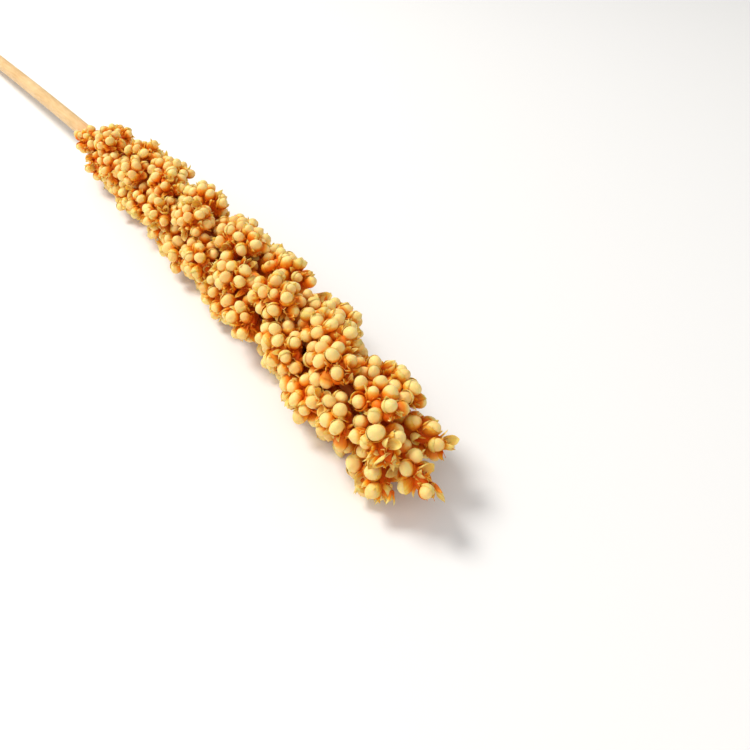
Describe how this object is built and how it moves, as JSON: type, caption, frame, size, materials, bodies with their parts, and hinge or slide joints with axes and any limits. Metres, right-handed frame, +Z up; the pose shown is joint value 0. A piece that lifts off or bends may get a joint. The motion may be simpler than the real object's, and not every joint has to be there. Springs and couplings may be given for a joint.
{
  "type": "sorghum seed head",
  "caption": "Dried sorghum seed head lying on its side: a club of short seed branches spiralling round a central axis, on a long cut straw stem.",
  "frame": {"origin": "below the middle of the whole piece, on the surface that it lies on", "axes": "+X along the piece, from the cut end of the stem to the tip of the head; +Z up, away from the surface; +Y to the left when looking along +X"},
  "size_m": [0.5922, 0.0386, 0.031],
  "materials": {
    "stem": "smooth dry straw, satin",
    "seeds": "round dry grains in papery husks, cream with an orange dye, satin"
  },
  "bodies": {
    "root": {"stem": "stem", "seed_branch_01": "seeds", "seed_branch_02": "seeds", "seed_branch_03": "seeds", "seed_branch_04": "seeds", "seed_branch_05": "seeds", "seed_branch_06": "seeds", "seed_branch_07": "seeds", "seed_branch_08": "seeds", "seed_branch_09": "seeds", "seed_branch_10": "seeds", "seed_branch_11": "seeds", "seed_branch_12": "seeds", "seed_branch_13": "seeds", "seed_branch_14": "seeds", "seed_branch_15": "seeds", "seed_branch_16": "seeds", "seed_branch_17": "seeds", "seed_branch_18": "seeds", "seed_branch_19": "seeds", "seed_branch_20": "seeds", "seed_branch_21": "seeds", "seed_branch_22": "seeds", "seed_branch_23": "seeds", "seed_branch_24": "seeds", "seed_branch_25": "seeds", "seed_branch_26": "seeds", "seed_branch_27": "seeds", "seed_branch_28": "seeds", "seed_branch_29": "seeds", "seed_branch_30": "seeds", "seed_branch_31": "seeds", "seed_branch_32": "seeds", "seed_branch_33": "seeds", "seed_branch_34": "seeds", "seed_branch_35": "seeds", "seed_branch_36": "seeds", "seed_branch_37": "seeds", "seed_branch_38": "seeds", "seed_branch_39": "seeds", "seed_branch_40": "seeds", "seed_branch_41": "seeds", "seed_branch_42": "seeds", "seed_branch_43": "seeds", "seed_branch_44": "seeds", "seed_branch_45": "seeds", "seed_branch_46": "seeds", "seed_branch_47": "seeds", "seed_branch_48": "seeds", "seed_branch_49": "seeds", "seed_branch_50": "seeds", "seed_branch_51": "seeds", "seed_branch_52": "seeds", "seed_branch_53": "seeds", "seed_branch_54": "seeds", "seed_branch_55": "seeds", "seed_branch_56": "seeds", "seed_branch_57": "seeds", "seed_branch_tip": "seeds"}
  },
  "joints": []
}
